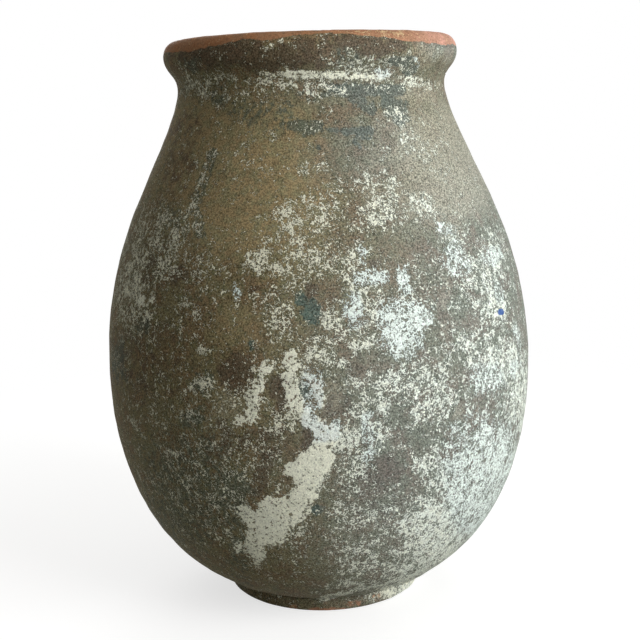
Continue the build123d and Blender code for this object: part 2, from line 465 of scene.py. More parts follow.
umber_streaks = ((273, 453, 254, 490, 9, 0.80),)
blue_spot = (496.5, 308.5, 503.5, 315.5, 1.0)

# Outline of the thick lime plaster low on the front
plaster_outline = (
    (312, 440), (324, 446), (334, 451), (335, 459), (331, 471), (323, 475), (317, 483), (317, 499),
    (308, 505), (309, 516), (301, 520), (292, 530), (289, 540), (276, 547), (265, 547), (266, 555),
    (261, 562), (253, 560), (245, 551), (244, 542), (245, 531), (254, 530), (244, 524), (236, 516),
    (235, 508), (247, 504), (252, 512), (257, 511), (258, 505), (265, 496), (281, 497), (289, 497),
    (291, 490), (295, 486), (294, 477), (284, 474), (285, 466), (295, 461), (300, 454), (308, 451),
)

# Lower edge of the worn bare rim, as it is seen from the left to the right
bare_rim_line = (
    (160, 52), (190, 50), (206, 46), (232, 42), (252, 39), (272, 37), (292, 35), (320, 33.5), (345, 33.5),
    (366, 34.5), (390, 37), (411, 41), (440, 43.5), (458, 44.5),
)

# Squareness of an oval, and the core and the rim of a streak as shares of half its width
squareness = 2.6
streak_core, streak_rim = 0.65, 1.3


def patch_field(across, down, patches, core=0.35, rim=1.45):
    """Strongest of soft-edged ovals: strength times a smooth fall from the core to the rim of its size."""
    field = np.zeros_like(across)
    for left, top, right, bottom, strength in patches:
        side = np.abs(across - (left + right) / 2) / ((right - left) / 2)
        rise = np.abs(down - (top + bottom) / 2) / ((bottom - top) / 2)
        reach = (side**squareness + rise**squareness) ** (1 / squareness)
        field = np.maximum(field, strength * smooth_step(rim, core, reach))
    return field


def line_distance(across, down, start, end):
    """Distance to a straight stretch between two points."""
    way = np.subtract(end, start)
    share = ((across - start[0]) * way[0] + (down - start[1]) * way[1]) / (way @ way)
    share = np.clip(share, 0, 1)
    return np.hypot(across - start[0] - share * way[0], down - start[1] - share * way[1])


def streak_field(across, down, streaks):
    """Strongest of soft-edged streaks, each a straight stretch with rounded ends."""
    field = np.zeros_like(across)
    for left, top, right, bottom, half_width, strength in streaks:
        gap = line_distance(across, down, (left, top), (right, bottom))
        field = np.maximum(field, strength * smooth_step(streak_rim, streak_core, gap / half_width))
    return field


def outline_field(across, down, outline, softness):
    """1 inside a closed outline, by counting crossings, and 0 outside, over a soft band."""
    crossings = np.zeros(across.shape, dtype=int)
    nearest = np.full(across.shape, np.inf)
    for start, end in zip(outline, outline[1:] + outline[:1]):
        nearest = np.minimum(nearest, line_distance(across, down, start, end))
        if start[1] != end[1]:
            where = start[0] + (down - start[1]) / (end[1] - start[1]) * (end[0] - start[0])
            crossings += ((start[1] > down) != (end[1] > down)) & (across < where)
    return smooth_step(-softness, softness, np.where(crossings % 2 == 1, nearest, -nearest))


# Colour fields of the hidden side, drawn at random with the front's density

draw = np.random.default_rng(41)

# Height of a drawn patch beside its width
tallness = 1.3


def scattered(count, size, strength, low=0.03, high=0.66):
    """Random patches behind: azimuth, height, half width, half height in metres, and strength."""
    return np.column_stack([
        draw.uniform(0, 2 * pi, count),
        draw.uniform(low, high, count),
        draw.uniform(*size, count),
        draw.uniform(*size, count) * tallness,
        draw.uniform(*strength, count),
    ])


hidden_patches = {
    "lime": np.vstack([
        scattered(34, (0.022, 0.070), (0.50, 0.86)),
        scattered(110, (0.006, 0.024), (0.50, 0.90)),
        scattered(26, (0.008, 0.030), (0.50, 0.80), 0.66, 0.70),
    ]),
    "cool": scattered(16, (0.03, 0.08), (0.6, 1.0)),
    "clear": scattered(14, (0.02, 0.05), (0.6, 0.8)),
    "crust": scattered(12, (0.005, 0.030), (0.7, 1.0), 0.10, 0.60),
    "film_and_shade": scattered(50, (0.008, 0.035), (0.5, 0.9)),
    "teal": scattered(9, (0.005, 0.012), (0.7, 1.0)),
    "umber": scattered(22, (0.012, 0.045), (0.5, 0.9)),
    "ochre": scattered(12, (0.04, 0.09), (0.4, 0.8)),
    "tan": scattered(8, (0.04, 0.08), (0.4, 0.8)),
    "lit_side_dust": scattered(9, (0.08, 0.16), (0.4, 1.0)),
    "specks": scattered(14, (0.05, 0.12), (0.5, 1.0)),
}

# Where the front's patches fold back on themselves, and where, in radians
# past that, they fade into the hidden side's, with the wander of that seam
front_edge = radians(77)
fade_start, fade_end = 0.25, 1.05
seam_grain, seam_wander = 70 * mm, 0.30
hidden_lime_least = 0.28

# Wander of the patches' edges in pixels: a broad noise and a fine one. Marks
# with a tight edge wander by a share of it. A pixel is this long on the jar.
broad_grain, broad_reach = 30 * mm, 9
fine_grain, fine_reach = 9 * mm, 3.5
tight_share = 0.18
pixel_length = 1.2 * mm

# Plaster: softness of its edge in pixels, and how it thins below a row of pixels
plaster_softness = 4.0
thin_rows = (495, 515)
thinned_share = 0.16

# Bare rim in front: where it can be, its edge's softness in pixels, and that
# edge's share of the wander. Behind: its lower edge, its softness and wander.
rim_zone, rim_edge, rim_wander = (660 * mm, 670 * mm), (3, -1), 0.35
bare_height, bare_softness, bare_wander = 690 * mm, 3 * mm, 4 * mm

# Where the front counts as seen, by its cosine to the camera and by depth, and
# how far it has to be seen for the blue dot
facing_zone, front_zone, full_view = (-0.15, 0.0), (20 * mm, -20 * mm), 0.9

# Slow noises that vary the lime and the bare rim behind, and how sharply lime turns cool
slow_grain, slow_lime_share = 50 * mm, 0.06
bare_grain = 60 * mm
cool_edge = (0.1, 0.5)

# Smallest radius, in metres, that a drawn patch is measured at
least_radius = 0.1

# Core and rim of a soft patch, as shares of half its size
broad_fall, lit_side_dust_fall, speck_fall, hidden_fall = (0.2, 1.4), (0.2, 1.3), (0.4, 1.3), (1.3, 0.5)


def hidden_field(places, patches):
    """Strongest of soft-edged ovals on the jar's wall, measured along its girth and height."""
    azimuth = np.arctan2(places[..., 1], places[..., 0])
    radius = np.maximum(np.hypot(places[..., 0], places[..., 1]), least_radius)
    field = np.zeros(azimuth.shape)
    for turn, height, half_width, half_height, strength in patches:
        apart = np.abs((azimuth - turn + pi) % (2 * pi) - pi) * radius
        reach = np.hypot(apart / half_width, (places[..., 2] - height) / half_height)
        field = np.maximum(field, strength * smooth_step(*hidden_fall, reach))
    return field


def folded_front(places):
    """Places folded back onto the front at its edge, and how far each is turned from the front."""
    turn = np.arctan2(places[..., 0], -places[..., 1])
    size = np.abs(turn)
    folded = np.sign(turn) * np.where(size > front_edge, 2 * front_edge - size, size)
    radius = np.hypot(places[..., 0], places[..., 1])
    return np.stack([radius * np.sin(folded), -radius * np.cos(folded), places[..., 2]], axis=-1), size


def wander(places, seed):
    """Drift of the patches' edges in pixels: the sum of a broad noise and a fine one."""
    broad = cloud(places, broad_grain, seed) * broad_reach
    return broad + cloud(places, fine_grain, seed + 3, 2) * fine_reach


def wear(places, normals):
    """Fields of colour and wear at each place, from 0 to 1, front ones as seen and hidden ones drawn."""
    to_camera = np.array(camera_place) - places
    to_camera /= np.linalg.norm(to_camera, axis=-1, keepdims=True)
    facing = np.sum(normals * to_camera, axis=-1)
    shown = smooth_step(*facing_zone, facing) * smooth_step(*front_zone, places[..., 1])
    warp_across, warp_down = wander(places, 11), wander(places, 21)
    folded, turned_by = folded_front(places)
    across, down = seen_at(folded)
    loose = across + warp_across, down + warp_down
    tight = across + warp_across * tight_share, down + warp_down * tight_share
    past_edge = turned_by - front_edge + seam_wander * cloud(places, seam_grain, 33)
    drawn = smooth_step(fade_start, fade_end, past_edge)
    moved = places + np.stack([warp_across, warp_down, warp_across - warp_down], axis=-1) * pixel_length

    cool = patch_field(*loose, cool_lime_patches)
    lime = np.maximum(patch_field(*loose, cream_lime_patches), cool)
    lime = np.maximum(lime, patch_field(*loose, broad_lime_patches, *broad_fall))
    lime = np.maximum(lime, streak_field(*tight, lime_streaks))
    lime = lime * (1 - patch_field(*loose, clear_patches))
    plaster = outline_field(*tight, plaster_outline, plaster_softness)
    plaster = plaster * (1 - thinned_share * smooth_step(*thin_rows, loose[1]))
    crust = np.maximum(patch_field(*tight, crust_patches), plaster)
    front = {
        "lime": lime,
        "cool": smooth_step(*cool_edge, cool),
        "crust": np.maximum(crust, streak_field(*tight, crust_streaks)),
        "film_and_shade": np.maximum(patch_field(*loose, film_and_shade_patches), streak_field(*tight, film_streaks)),
        "teal": patch_field(*tight, teal_patches),
        "umber": np.maximum(patch_field(*loose, umber_patches), streak_field(*loose, umber_streaks)),
        "ochre": patch_field(*loose, ochre_patches),
        "tan": patch_field(*loose, tan_patches),
        "lit_side_dust": patch_field(*loose, lit_side_dust_patches, *lit_side_dust_fall),
        "specks": patch_field(*loose, speck_patches, *speck_fall),
    }
    behind = {name: hidden_field(moved, hidden_patches[name]) for name in front}
    behind["lime"] = behind["lime"] * (1 - hidden_field(moved, hidden_patches["clear"]))
    behind["lime"] = np.maximum(behind["lime"], hidden_lime_least)
    fields = {name: front[name] + (behind[name] - front[name]) * drawn for name in front}
    slow = slow_lime_share * cloud(places, slow_grain, 31)
    fields["lime"] = np.clip(fields["lime"] + slow, 0, 1)
    fields["blue"] = patch_field(*seen_at(places), [blue_spot]) * (shown > full_view)

    seen_line = np.interp(across, *np.array(bare_rim_line).T)
    front_bare = smooth_step(*rim_edge, down + warp_down * rim_wander - seen_line)
    front_bare = front_bare * smooth_step(*rim_zone, places[..., 2])
    front_bare = np.maximum(front_bare, patch_field(*tight, bare_patches))
    above_line = places[..., 2] - bare_height + bare_wander * cloud(places, bare_grain, 51)
    hidden_bare = smooth_step(-bare_softness, bare_softness, above_line)
    fields["bare"] = hidden_bare + (front_bare - hidden_bare) * shown
    return fields


# Relief: how far the real surface lies from the round section. Each noise has
# its grain and how far it moves the surface.

ridge_grain, ridge_height = 11 * mm, 0.30 * mm
lump_grain, lump_height = 45 * mm, 0.7 * mm
small_lump_grain, small_lump_height = 14 * mm, 0.28 * mm
foot_lump_grain, foot_lump_height = 16 * mm, 1.3 * mm
foot_lump_zone = (55 * mm, 30 * mm)
chip_grain, chip_depth = 20 * mm, 1.6 * mm
rim_chip_zone, foot_chip_zone = (684 * mm, 694 * mm), (12 * mm, 4 * mm)
plaster_height, lime_height = 0.5 * mm, 0.15 * mm
glaze_ridge_grain, glaze_ridge_height = 16 * mm, 1.2 * mm
drip_grain, drip_height = 14 * mm, 0.6 * mm
glaze_fade = 25 * mm

# Throwing ridges run round the jar and glaze runs down it: noises stretched that way
ring_stretch, glaze_ring_stretch, run_stretch = (0.15, 0.15, 1), (0.1, 0.1, 1), (1, 1, 0.15)

# How strong crust, a chip's noise and a run's noise are where they start and where they are full
thick_zone, chip_zone, run_zone = (0.35, 0.7), (0.35, 0.75), (0.2, 0.8)

# Rise over the foot's underside and over the glaze's edge in which the relief starts
under_foot_zone, above_glaze_rise = (0.0, 3 * mm), 4 * mm

# Out-of-round: height, waves round the jar and phase of each; the second leans with the height
waves = ((1.1 * mm, 2, 0.6, 0.0), (0.7 * mm, 3, 2.0, 3.0))

# Open stretch of the crack under the rim, and how the foot's groove fills, in pixels across
crack_start, crack_end = (318, 328), (385, 368)
foot_fill, foot_fill_share = (330, 420), 0.8
hidden_foot_open = 0.75

# Slow noise in both: its grain, and how it opens the foot's groove and the crack
fill_grain, foot_open_share = 50 * mm, 0.25
crack_open_zone, crack_open_share = (0.25, 0.6), 0.8


def out_of_round(places):
    """Radial shift: slow waves round the jar, in proportion to the radius."""
    azimuth = np.arctan2(places[..., 1], places[..., 0])
    share = np.hypot(places[..., 0], places[..., 1]) / belly_radius
    height = places[..., 2]
    return share * sum(
        size * np.cos(count * azimuth + phase + height * twist) for size, count, phase, twist in waves
    )


def clay_relief(places, fields):
    """Outward shift of the clay: lumps, throwing ridges, thick lime and chipped edges."""
    height = places[..., 2]
    ridges = smooth_noise(places * ring_stretch, ridge_grain, 61) * ridge_height
    lumps = cloud(places, lump_grain, 62, 2) * lump_height
    lumps = lumps + cloud(places, small_lump_grain, 65, 2) * small_lump_height
    at_foot = smooth_step(*foot_lump_zone, height)
    lumps = lumps + cloud(places, foot_lump_grain, 77, 2) * at_foot * foot_lump_height
    thick = smooth_step(*thick_zone, fields["crust"]) * plaster_height + fields["lime"] * lime_height
    chips = smooth_step(*chip_zone, cloud(places, chip_grain, 68)) * chip_depth
    at_edge = smooth_step(*rim_chip_zone, height) + smooth_step(*foot_chip_zone, height)
    return ridges + lumps + thick - chips * at_edge


def groove_fill(places):
    """Share of a groove that dirt and lime have filled: what the front and a slow noise leave shut."""
    across, _ = seen_at(places)
    front = places[..., 1] < 0
    at_foot = places[..., 2] < belly_height
    crack = smooth_step(*crack_start, across) * smooth_step(*crack_end, across)
    foot_line = 1 - smooth_step(*foot_fill, across) * foot_fill_share
    slow = cloud(places, fill_grain, 91, 2)
    at_foot_open = np.where(front, foot_line, hidden_foot_open)
    open_share = np.where(at_foot, at_foot_open, np.where(front, crack, 0.0))
    crack_opened = smooth_step(*crack_open_zone, slow) * crack_open_share
    opened = np.where(at_foot, slow * foot_open_share, crack_opened)
    return 1 - np.clip(open_share + opened, 0, 1)


# Meshes

def section(*stretches):
    """Joins stretches of the section, given as points, role and spacing, into rows.

    A row holds its point, its outward direction across the line, its
    stretch's role and its depth in a groove. Corner rows end a stretch.
    """
    points, normals, roles, depths, corners = [], [], [], [], []
    for line, role, spacing in stretches:
        line = spaced(np.asarray(line), spacing)
        slope = np.gradient(line, axis=0) if len(line) > 2 else np.repeat(np.diff(line, axis=0), 2, axis=0)
        slope /= np.linalg.norm(slope, axis=1, keepdims=True)
        across = np.column_stack([slope[:, 1], -slope[:, 0]])
        depth = np.zeros(len(line))
        if role in groove_ends:
            low_end, high_end = groove_ends[role]
            chord = (high_end - low_end) / np.linalg.norm(high_end - low_end)
            across[:] = (chord[1], -chord[0])
            depth = (low_end - line) @ across[0]
        keep = slice(1, None) if points else slice(None)
        if points and role in ("outside", *groove_ends):
            normals[-1] = across[0]
            roles[-1] = role
            depths[-1] = depth[0]
        points += list(line[keep])
        normals += list(across[keep])
        roles += [role] * len(line[keep])
        depths += list(depth[keep])
        corners.append(len(points) - 1)
    return np.array(points), np.array(normals), np.array(roles), np.array(depths), corners


def ring_grid(points, normals):
    """Places and outward directions on a grid of rows by columns: each row turned once about the axis."""
    angle = np.linspace(0, 2 * pi, columns, endpoint=False)
    wheel = np.stack([np.cos(angle), np.sin(angle)], axis=-1)
    flat = points[:, :1, None] * wheel[None]
    places = np.concatenate([flat, np.repeat(points[:, 1:, None], columns, axis=1)], axis=-1)
    lean = normals[:, :1, None] * wheel[None]
    outward = np.concatenate([lean, np.repeat(normals[:, 1:, None], columns, axis=1)], axis=-1)
    return places, outward


def grid_faces(rows, closed):
    """Four corners of every cell of the grid, closed from the last row to the first if asked."""
    row = np.arange(rows if closed else rows - 1)[:, None]
    column = np.arange(columns)[None]
    after = (column + 1) % columns
    above = (row + 1) % rows
    ways = ((row, column), (row, after), (above, after), (above, column))
    corners = [along * columns + around for along, around in ways]
    return np.stack(corners, axis=-1).reshape(-1, 4)


def pole_faces(pole, ring_start, upward):
    """Triangles from a pole to a ring of the grid."""
    column = np.arange(columns)
    after = (column + 1) % columns
    ends = (after, column) if upward else (column, after)
    return np.column_stack([np.full(columns, pole), ring_start + ends[0], ring_start + ends[1]])


def add_piece(name, rows, relief, poles=False):
    """Closed mesh object from section rows, moved by its relief, with its wear as attributes."""
    *columns_of_rows, corners = rows
    kept = slice(1, -1) if poles else slice(None, -1)
    first_pole, last_pole = rows[0][0], rows[0][-1]
    points, normals, roles, depths = (values[kept] for values in columns_of_rows)
    corners = [corner - 1 if poles else corner % len(points) for corner in corners]
    places, outward = ring_grid(points, normals)
    fields = wear(places, outward)
    shift, weight = relief(places, fields, roles[:, None], depths[:, None])
    radial = places * np.array([1, 1, 0])
    radial /= np.maximum(np.linalg.norm(radial, axis=-1, keepdims=True), 1e-9)
    moved = places + outward * (shift * weight)[..., None] + radial * out_of_round(places)[..., None]

    rows_count = len(points)
    vertices = moved.reshape(-1, 3)
    quads = grid_faces(rows_count, not poles)
    triangles = np.zeros((0, 3), dtype=int)
    if poles:
        low, high = len(vertices), len(vertices) + 1
        ends = [(0, 0, first_pole[1]), (0, 0, last_pole[1])]
        vertices = np.vstack([vertices, ends])
        last_ring = (rows_count - 1) * columns
        triangles = np.vstack([pole_faces(low, 0, True), pole_faces(high, last_ring, False)])

    mesh = bpy.data.meshes.new(name)
    mesh.from_pydata(vertices.tolist(), [], quads.tolist() + triangles.tolist())
    mesh.polygons.foreach_set("use_smooth", np.ones(len(mesh.polygons), dtype=bool))
    mesh.validate()

    for field, values in fields.items():
        padded = np.zeros(len(vertices))
        padded[: values.size] = values.ravel()
        mesh.attributes.new(field, "FLOAT", "POINT").data.foreach_set("value", padded)

    ends = np.empty(len(mesh.edges) * 2, dtype=int)
    mesh.edges.foreach_get("vertices", ends)
    edge_rows = ends.reshape(-1, 2) // columns
    sharp = (edge_rows[:, 0] == edge_rows[:, 1]) & np.isin(edge_rows[:, 0], corners)
    mesh.attributes.new("sharp_edge", "BOOLEAN", "EDGE").data.foreach_set("value", sharp)

    piece = bpy.data.objects.new(name, mesh)
    bpy.context.scene.collection.objects.link(piece)
    return piece


def clay_shift(places, fields, roles, depths):
    """Relief on bare outer faces only; the joints and the glazed inside keep the round section."""
    above_glaze = smooth_step(glaze_top, glaze_top + above_glaze_rise, places[..., 2])
    under_foot = smooth_step(*under_foot_zone, places[..., 2])
    bare = (roles == "outside") | (depths > 0)
    weight = np.where(bare, under_foot, np.where(roles == "mouth", above_glaze, 0))
    return clay_relief(places, fields) + depths * groove_fill(places), weight


def glaze_shift(places, fields, roles, depths):
    """Relief of the glaze towards the cavity: broad throwing ridges and slow runs, none at its edge."""
    ridges = smooth_noise(places * glaze_ring_stretch, glaze_ridge_grain, 71)
    ridges = (ridges * 0.5 + 0.5) * glaze_ridge_height
    drips = smooth_step(*run_zone, smooth_noise(places * run_stretch, drip_grain, 72)) * drip_height
    fade = smooth_step(glaze_top, glaze_top - glaze_fade, places[..., 2])
    return (ridges + drips) * fade, np.where(roles == "lining", 1.0, 0.0)


def base_slab():
    """Foot and middle of the floor: a low disc with an upright edge and a groove on top of it."""
    flare = (foot_top_radius - foot_radius) * foot_edge_round / foot_height
    groove_arc = groove(foot_joint, foot_groove, foot_side_way, base_joint_way - 2 * pi)
    edge_centre = (foot_radius - foot_edge_round, foot_edge_round)
    edge = arc(edge_centre, (foot_edge_round, foot_edge_round), -pi / 2, 0, 10)
    edge[:, 0] += np.linspace(0, flare, len(edge))
    inner = base_joint_inside()
    return section(
        ([(0, 0), (foot_radius - foot_edge_round, 0)], "underside", hidden_row),
        (edge, "outside", foot_row),
        ([edge[-1], groove_arc[0]], "outside", foot_row),
        (groove_arc, "foot_groove", foot_row / 2),
        ([groove_arc[-1], inner], "joint", hidden_row),
        (between(inside, floor_thickness, inner[1])[::-1], "inside", hidden_row),
        ([(floor_radius, floor_thickness), (0, floor_thickness)], "inside", hidden_row),
    )


def lower_wall():
    """Bowl of the jar, from the groove over the foot to the belly."""
    spring = (foot_top_radius + spring_width, foot_height + spring_rise)
    groove_arc = groove(foot_joint, foot_groove, base_joint_way, spring_way)
    inner = base_joint_inside()
    return section(
        (groove_arc, "foot_groove", foot_row),
        ([groove_arc[-1], spring], "outside", foot_row),
        (between(outside, spring[1], belly_joint[1]), "outside", wall_row),
        ([belly_joint, belly_joint_inside], "joint", hidden_row),
        (between(inside, inner[1], belly_joint_inside[1])[::-1], "inside", hidden_row),
        ([inner, groove_arc[0]], "joint", hidden_row),
    )


def upper_wall():
    """Shoulder and neck, from the belly to the crack under the rim."""
    groove_arc = groove(rim_joint, rim_groove, under_rim_way, rim_joint_way - 2 * pi)
    under_lip = between(lip, neck_height, groove_ends["rim_groove"][0][1])
    neck = np.vstack([between(outside, neck_height - neck_reach, neck_height), under_lip[1:]])
    bore = [rim_joint_inside, (mouth_radius, neck_height)]
    return section(
        (between(outside, belly_joint[1], neck_height - neck_reach), "outside", wall_row),
        (neck, "outside", neck_row),
        (groove_arc, "rim_groove", rim_groove / 2),
        ([groove_arc[-1], rim_joint_inside], "joint", hidden_row),
        (bore, "inside", hidden_row),
        (between(inside, belly_joint_inside[1], neck_height)[::-1], "inside", hidden_row),
        ([belly_joint_inside, belly_joint], "joint", hidden_row),
    )


def rim_collar():
    """Rolled rim with its rounded top, down to the joint inside the mouth."""
    groove_arc = groove(rim_joint, rim_groove, rim_joint_way, over_rim_way)
    top_corner = arc((lip_radius - lip_round, lip_height), (lip_round, jar_height - lip_height), 0, pi / 2)
    mouth_centre = (mouth_radius + mouth_round, jar_height - mouth_round)
    mouth_corner = arc(mouth_centre, (mouth_round, mouth_round), pi / 2, pi)
    return section(
        (groove_arc, "rim_groove", rim_groove / 2),
        (between(lip, groove_ends["rim_groove"][1][1], lip_height), "outside", rim_row),
        (np.vstack([top_corner, mouth_corner]), "outside", rim_row),
        ([mouth_corner[-1], (mouth_radius, glaze_top)], "mouth", rim_row),
        ([(mouth_radius, glaze_top), rim_joint_inside], "inside", hidden_row),
        ([rim_joint_inside, groove_arc[0]], "joint", hidden_row),
    )


def glaze_lining():
    """Skin of glaze from the middle of the floor up to a bare band below the mouth's edge."""
    glaze_face = inside_line(glaze_thickness)
    floor_top = floor_thickness + glaze_thickness
    face_radius = mouth_radius - glaze_thickness
    return section(
        ([(0, floor_thickness), (floor_radius, floor_thickness)], "inside", hidden_row),
        (inside, "inside", hidden_row),
        ([(mouth_radius, neck_height), (mouth_radius, glaze_top)], "inside", hidden_row),
        ([(mouth_radius, glaze_top), (face_radius, glaze_top - glaze_thickness)], "edge", hidden_row),
        ([(face_radius, glaze_top - glaze_thickness), (face_radius, neck_height)], "lining", lining_row),
        (glaze_face[::-1], "lining", lining_row),
        ([(floor_radius, floor_top), (0, floor_top)], "lining", lining_row),
    )


# Materials

# Colours in the usual 0 to 255 steps. A dusty one is that of the side where dust lies, which is also the
# lit side, so it is lighter and cooler: partly dust and partly painted light.
colours = {
    "olive": (119, 110, 81), "brown": (120, 102, 76), "moss": (98, 99, 72),
    "ochre": (152, 134, 99), "green ochre": (141, 133, 100),
    "green dust": (120, 127, 119), "brown dust": (127, 124, 117),
    "tan": (146, 138, 112), "dusty tan": (168, 168, 156),
    "umber": (84, 70, 58), "dusty umber": (110, 106, 101),
    "film_and_shade": (80, 88, 76), "dusty film_and_shade": (106, 116, 115),
    "teal": (68, 94, 92), "dusty teal": (68, 94, 92),
    "stain": (70, 62, 44), "dusty stain": (92, 94, 84),
    "vein": (58, 62, 50), "dusty vein": (92, 98, 92),
    "speck": (138, 142, 122), "dusty speck": (176, 182, 172),
    "pit": (44, 38, 28), "blue paint": (44, 84, 150),
    "cream lime": (233, 232, 211), "grey lime": (228, 238, 233), "cool lime": (225, 237, 232),
    "cream haze": (142, 144, 124), "grey haze": (158, 168, 162), "cool haze": (186, 192, 193),
    "rim of lime": (60, 62, 48), "dusty rim of lime": (82, 93, 88),
    "plaster": (246, 247, 228), "dull plaster": (236, 238, 220), "cool plaster": (236, 243, 237),
    "dirty plaster": (206, 206, 182),
    "bare clay": (160, 112, 78), "dusty bare clay": (214, 162, 145), "pale clay": (150, 116, 90),
    "dirty clay": (112, 88, 66), "golden lime": (214, 188, 140),
    "honey": (166, 112, 52), "dark honey": (116, 70, 32), "olive honey": (138, 104, 50),
    "scale": (190, 180, 150), "glaze pit": (46, 32, 20),
}

# Coats laid over the dusty skin, which is also painted lighter on the lit side, the lowest first.
# Each is a field with a ragged edge: its name, the edge's grain in mm, how ragged and how soft the
# edge is, where its noise starts, and how strong the coat is.
coats = (
    ("tan", 26, 0.35, 0.35, (0, 1, 0), 0.75),
    ("umber", 12, 1.00, 0.25, (0, 0, 1), 0.75),
    # The film coat also lays painted shade low on the left.
    ("film_and_shade", 6, 1.40, 0.25, (3, 0, 0), 0.80),
    ("teal", 5, 1.00, 0.20, (0, 3, 0), 0.75),
)


def paint(name):
    """Linear colour of a named colour, by the usual screen curve."""
    steps = np.array(colours[name]) / 255
    linear = np.where(steps <= 0.04045, steps / 12.92, ((steps + 0.055) / 1.055) ** 2.4)
    return (*linear, 1.0)


class Net:
    """Adds nodes to one tree. What feeds an input is a number, a colour or another node's output."""

    def __init__(self, tree):
        self.tree = tree

    def feed(self, socket, value):
        if isinstance(value, bpy.types.NodeSocket):
            self.tree.links.new(value, socket)
        else:
            socket.default_value = value

    def add(self, kind, feeds=None, **settings):
        made = self.tree.nodes.new(kind)
        for name, value in settings.items():
            setattr(made, name, value)
        for name, value in (feeds or {}).items():
            self.feed(made.inputs[name], value)
        return made

    def group(self, tree, **feeds):
        """Places a node group, its inputs given by name, and gives its outputs."""
        made = self.add("ShaderNodeGroup", node_tree=tree)
        for name, value in feeds.items():
            self.feed(made.inputs[name], value)
        return made.outputs

    def math(self, operation, first, second=0.0, clamp=False):
        feeds = {0: first, 1: second}
        return self.add("ShaderNodeMath", feeds, operation=operation, use_clamp=clamp).outputs[0]

    def times(self, first, second):
        return self.math("MULTIPLY", first, second)

    def sum(self, first, *others):
        for other in others:
            first = self.math("ADD", first, other)
        return first

    def vector(self, operation, first, second=(0, 0, 0), output="Vector"):
        return self.add("ShaderNodeVectorMath", {0: first, 1: second}, operation=operation).outputs[output]

    def mix(self, share, first, second, blend="MIX"):
        feeds = {0: share, 6: first, 7: second}
        return self.add("ShaderNodeMix", feeds, data_type="RGBA", blend_type=blend).outputs[2]

    def ramp(self, value, low, high, to_low, to_high, kind="LINEAR"):
        feeds = {"Value": value, "From Min": low, "From Max": high, "To Min": to_low, "To Max": to_high}
        return self.add("ShaderNodeMapRange", feeds, interpolation_type=kind).outputs[0]

    def step(self, value, low, high, to_low=0.0, to_high=1.0):
        return self.ramp(value, low, high, to_low, to_high, "SMOOTHSTEP")

    def noise(self, place, scale, detail=2.0, roughness=0.5, distortion=0.0):
        names = ("Vector", "Scale", "Detail", "Roughness", "Distortion")
        feeds = dict(zip(names, (place, scale, detail, roughness, distortion)))
        return self.add("ShaderNodeTexNoise", feeds).outputs["Fac"]

    def spots(self, place, offset, grain, detail=3.0, roughness=0.6, distortion=0.0):
        """Noise of a grain in mm that starts at an offset of its own."""
        place = self.vector("ADD", place, offset)
        return self.noise(place, 1 / (grain * mm), detail, roughness, distortion)

    def field(self, name):
        return self.add("ShaderNodeAttribute", attribute_name=name).outputs["Fac"]

    def mottled(self, noise, low, high, first, second):
        """One named colour that gives way to another as a noise rises from low to high."""
        return self.mix(self.step(noise, low, high), paint(first), paint(second))

    def laid(self, skin, mask, strength, colour):
        """A colour laid over the skin where the mask is, as strongly as given."""
        return self.mix(self.times(mask, strength), skin, colour)

    def toned(self, colour, tone, low, high):
        """A colour made darker and lighter by a tone, from low times to high times."""
        tone = self.ramp(tone, 0.0, 1.0, low, high)
        grey = self.add("ShaderNodeCombineXYZ", {0: tone, 1: tone, 2: tone}).outputs[0]
        return self.mix(1.0, colour, grey, "MULTIPLY")


def new_group(name, inputs, outputs):
    """Node group whose inputs are a place and named numbers; returns its net, inputs and outputs."""
    tree = bpy.data.node_groups.new(name, "ShaderNodeTree")
    tree.interface.new_socket("Place", in_out="INPUT", socket_type="NodeSocketVector")
    for label, default in inputs.items():
        socket = tree.interface.new_socket(label, in_out="INPUT", socket_type="NodeSocketFloat")
        socket.default_value = default
    for label in outputs:
        tree.interface.new_socket(label, in_out="OUTPUT", socket_type="NodeSocketFloat")
    net = Net(tree)
    return net, net.add("NodeGroupInput").outputs, net.add("NodeGroupOutput").inputs


def make_fine_grain():
    """Pepper of light and dark grains and small pits, as on rough fired clay."""
    net, given, out = new_group("fine_grain", {"Size": 1.5 * mm}, ["Tone", "Pits", "Height"])
    scale = net.math("DIVIDE", 1.0, given["Size"])
    grains = net.noise(given["Place"], scale, 1.0, 0.6)
    pit_place = net.vector("ADD", given["Place"], (3.1, 1.7, 0.9))
    pits = net.step(net.noise(pit_place, net.times(scale, 0.8), 2.0, 0.6), 0.62, 0.70)
    net.feed(out["Tone"], net.ramp(grains, 0.32, 0.68, 0.0, 1.0))
    net.feed(out["Pits"], pits)
    net.feed(out["Height"], net.math("SUBTRACT", grains, net.times(pits, 0.6)))
    return net.tree


def make_wall_streaks():
    """Streaks that run down the wall: noise on the direction from the axis, drawn out along the height."""
    net, given, out = new_group("wall_streaks", {"Size": 2.4 * mm}, ["Streaks"])
    around = net.vector("NORMALIZE", net.vector("MULTIPLY", given["Place"], (1, 1, 0)))
    girth = net.vector("MULTIPLY", around, (0.26, 0.26, 0))
    drawn = net.vector("ADD", girth, net.vector("MULTIPLY", given["Place"], (0, 0, 0.16)))
    net.feed(out["Streaks"], net.noise(drawn, net.math("DIVIDE", 1.0, given["Size"]), 2.0, 0.6, 0.4))
    return net.tree


